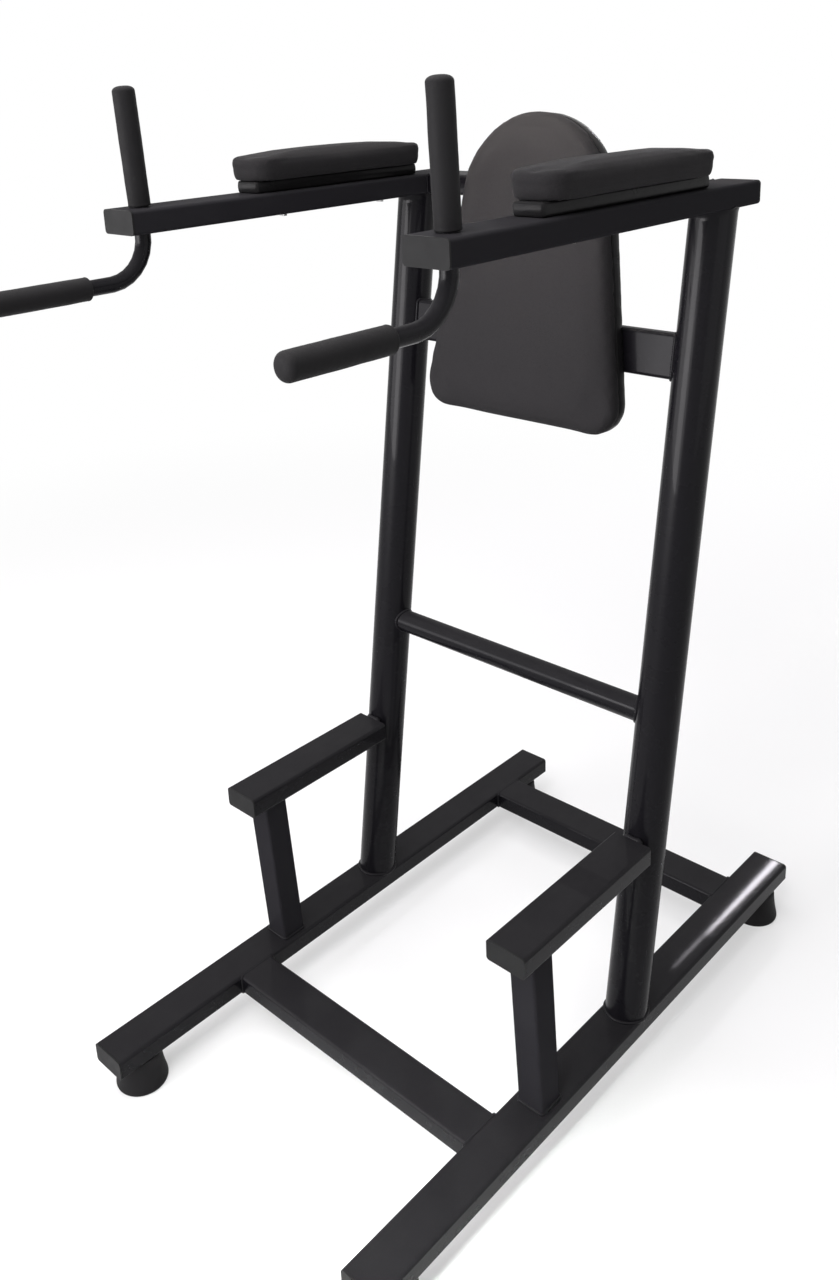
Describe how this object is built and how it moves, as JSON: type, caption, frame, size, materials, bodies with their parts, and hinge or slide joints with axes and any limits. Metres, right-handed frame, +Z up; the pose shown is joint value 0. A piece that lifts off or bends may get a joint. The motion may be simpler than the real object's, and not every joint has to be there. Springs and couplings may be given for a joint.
{
  "type": "dip station",
  "caption": "Welded leaning steel frame with two elbow pads, a domed back pad, upright grips, bent dip handles, foot steps and rubber feet, for leg raises and dips.",
  "frame": {"origin": "on the floor under the middle of the station's length and width, at the height of the feet's soles", "axes": "+Z up; +Y to the rear, so the dip handles point along -Y; +X to the right seen from the front, where nodes named right_ are"},
  "size_m": [0.736, 1.2646, 1.7451],
  "materials": {
    "black_paint": "semi-gloss black powder coat on steel",
    "cap_plastic": "moulded black plastic tube cap",
    "rubber": "dull black rubber",
    "black_vinyl": "black upholstery vinyl over foam, satin",
    "covered_board": "plywood board wrapped in the pad's black vinyl",
    "zinc_steel": "zinc plated bolts and nuts"
  },
  "bodies": {
    "root": {"left_base_rail": "black_paint", "left_rail_front_cap": "cap_plastic", "left_rail_rear_cap": "cap_plastic", "left_front_foot": "rubber", "left_front_foot_bolt": "zinc_steel", "left_front_foot_nut": "zinc_steel", "left_rear_foot": "rubber", "left_rear_foot_bolt": "zinc_steel", "left_rear_foot_nut": "zinc_steel", "left_upright": "black_paint", "left_step_platform": "black_paint", "left_step_front_cap": "cap_plastic", "left_step_post": "black_paint", "left_arm": "black_paint", "left_arm_front_cap": "cap_plastic", "left_arm_rear_cap": "cap_plastic", "left_elbow_pad_board": "covered_board", "left_elbow_pad_cushion": "black_vinyl", "left_elbow_pad_front_bolt": "zinc_steel", "left_elbow_pad_rear_bolt": "zinc_steel", "left_upright_grip_tube": "black_paint", "left_upright_grip_sleeve": "rubber", "left_dip_handle_tube": "black_paint", "left_dip_handle_sleeve": "rubber", "right_base_rail": "black_paint", "right_rail_front_cap": "cap_plastic", "right_rail_rear_cap": "cap_plastic", "right_front_foot": "rubber", "right_front_foot_bolt": "zinc_steel", "right_front_foot_nut": "zinc_steel", "right_rear_foot": "rubber", "right_rear_foot_bolt": "zinc_steel", "right_rear_foot_nut": "zinc_steel", "right_upright": "black_paint", "right_step_platform": "black_paint", "right_step_front_cap": "cap_plastic", "right_step_post": "black_paint", "right_arm": "black_paint", "right_arm_front_cap": "cap_plastic", "right_arm_rear_cap": "cap_plastic", "right_elbow_pad_board": "covered_board", "right_elbow_pad_cushion": "black_vinyl", "right_elbow_pad_front_bolt": "zinc_steel", "right_elbow_pad_rear_bolt": "zinc_steel", "right_upright_grip_tube": "black_paint", "right_upright_grip_sleeve": "rubber", "right_dip_handle_tube": "black_paint", "right_dip_handle_sleeve": "rubber", "front_cross_beam": "black_paint", "rear_cross_beam": "black_paint", "upper_cross_bar": "black_paint", "round_cross_tube": "black_paint", "pad_bar": "black_paint", "back_pad_board": "covered_board", "back_pad_cushion": "black_vinyl", "back_pad_lower_left_bolt": "zinc_steel", "back_pad_lower_right_bolt": "zinc_steel", "back_pad_upper_left_bolt": "zinc_steel", "back_pad_upper_right_bolt": "zinc_steel"}
  },
  "joints": []
}
